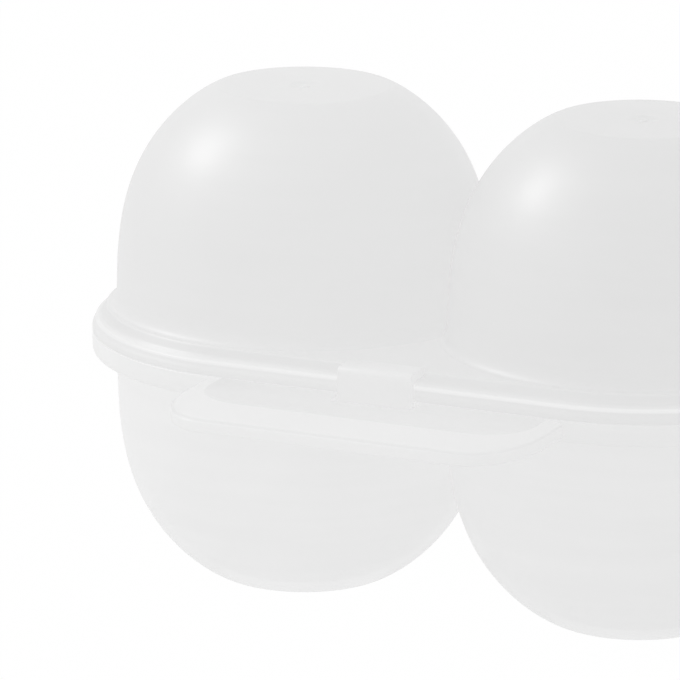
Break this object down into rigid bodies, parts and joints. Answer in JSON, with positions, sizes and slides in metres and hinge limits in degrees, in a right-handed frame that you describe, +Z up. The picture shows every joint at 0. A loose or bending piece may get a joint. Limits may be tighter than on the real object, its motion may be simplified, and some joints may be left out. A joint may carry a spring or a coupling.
{
  "type": "egg keeper with flip lid",
  "caption": "Clear snap-shut egg keeper: cup base with thumb tab, domed lid that flips back on a pin hinge, and a sprung latch tongue.",
  "frame": {"origin": "middle of the whole outline, on the table that the feet stand on", "axes": "+Z up, -Y towards the thumb tab and latch, +Y towards the hinge, X along the row of cells"},
  "size_m": [0.1046, 0.0802, 0.0666],
  "materials": {
    "base_plastic": "milky translucent polypropylene, satin gloss",
    "lid_plastic": "milky translucent polypropylene, satin gloss"
  },
  "bodies": {
    "base": {"left_cup": "base_plastic", "right_cup": "base_plastic", "left_cup_lip": "base_plastic", "right_cup_lip": "base_plastic", "base_rim": "base_plastic", "thumb_tab": "base_plastic", "tab_edge": "base_plastic", "left_hinge_bracket": "base_plastic", "right_hinge_bracket": "base_plastic", "left_hinge_pin": "base_plastic", "right_hinge_pin": "base_plastic"},
    "lid": {"left_dome": "lid_plastic", "right_dome": "lid_plastic", "lid_rim": "lid_plastic", "left_hinge_clip": "lid_plastic", "right_hinge_clip": "lid_plastic"},
    "latch": {"latch_tongue": "lid_plastic", "latch_hook": "lid_plastic"}
  },
  "joints": [
    {"name": "lid_hinge", "type": "hinge", "parent": "base", "child": "lid", "pos_m": [0, 0.03732, 0.0337], "axis": [-1, 0, 0], "range_deg": [0, 180]},
    {"name": "latch_flex", "type": "hinge", "parent": "lid", "child": "latch", "pos_m": [0, -0.02107, 0.0373], "axis": [-1, 0, 0], "range_deg": [0, 6], "stiffness_Nm_per_rad": 0.05}
  ]
}
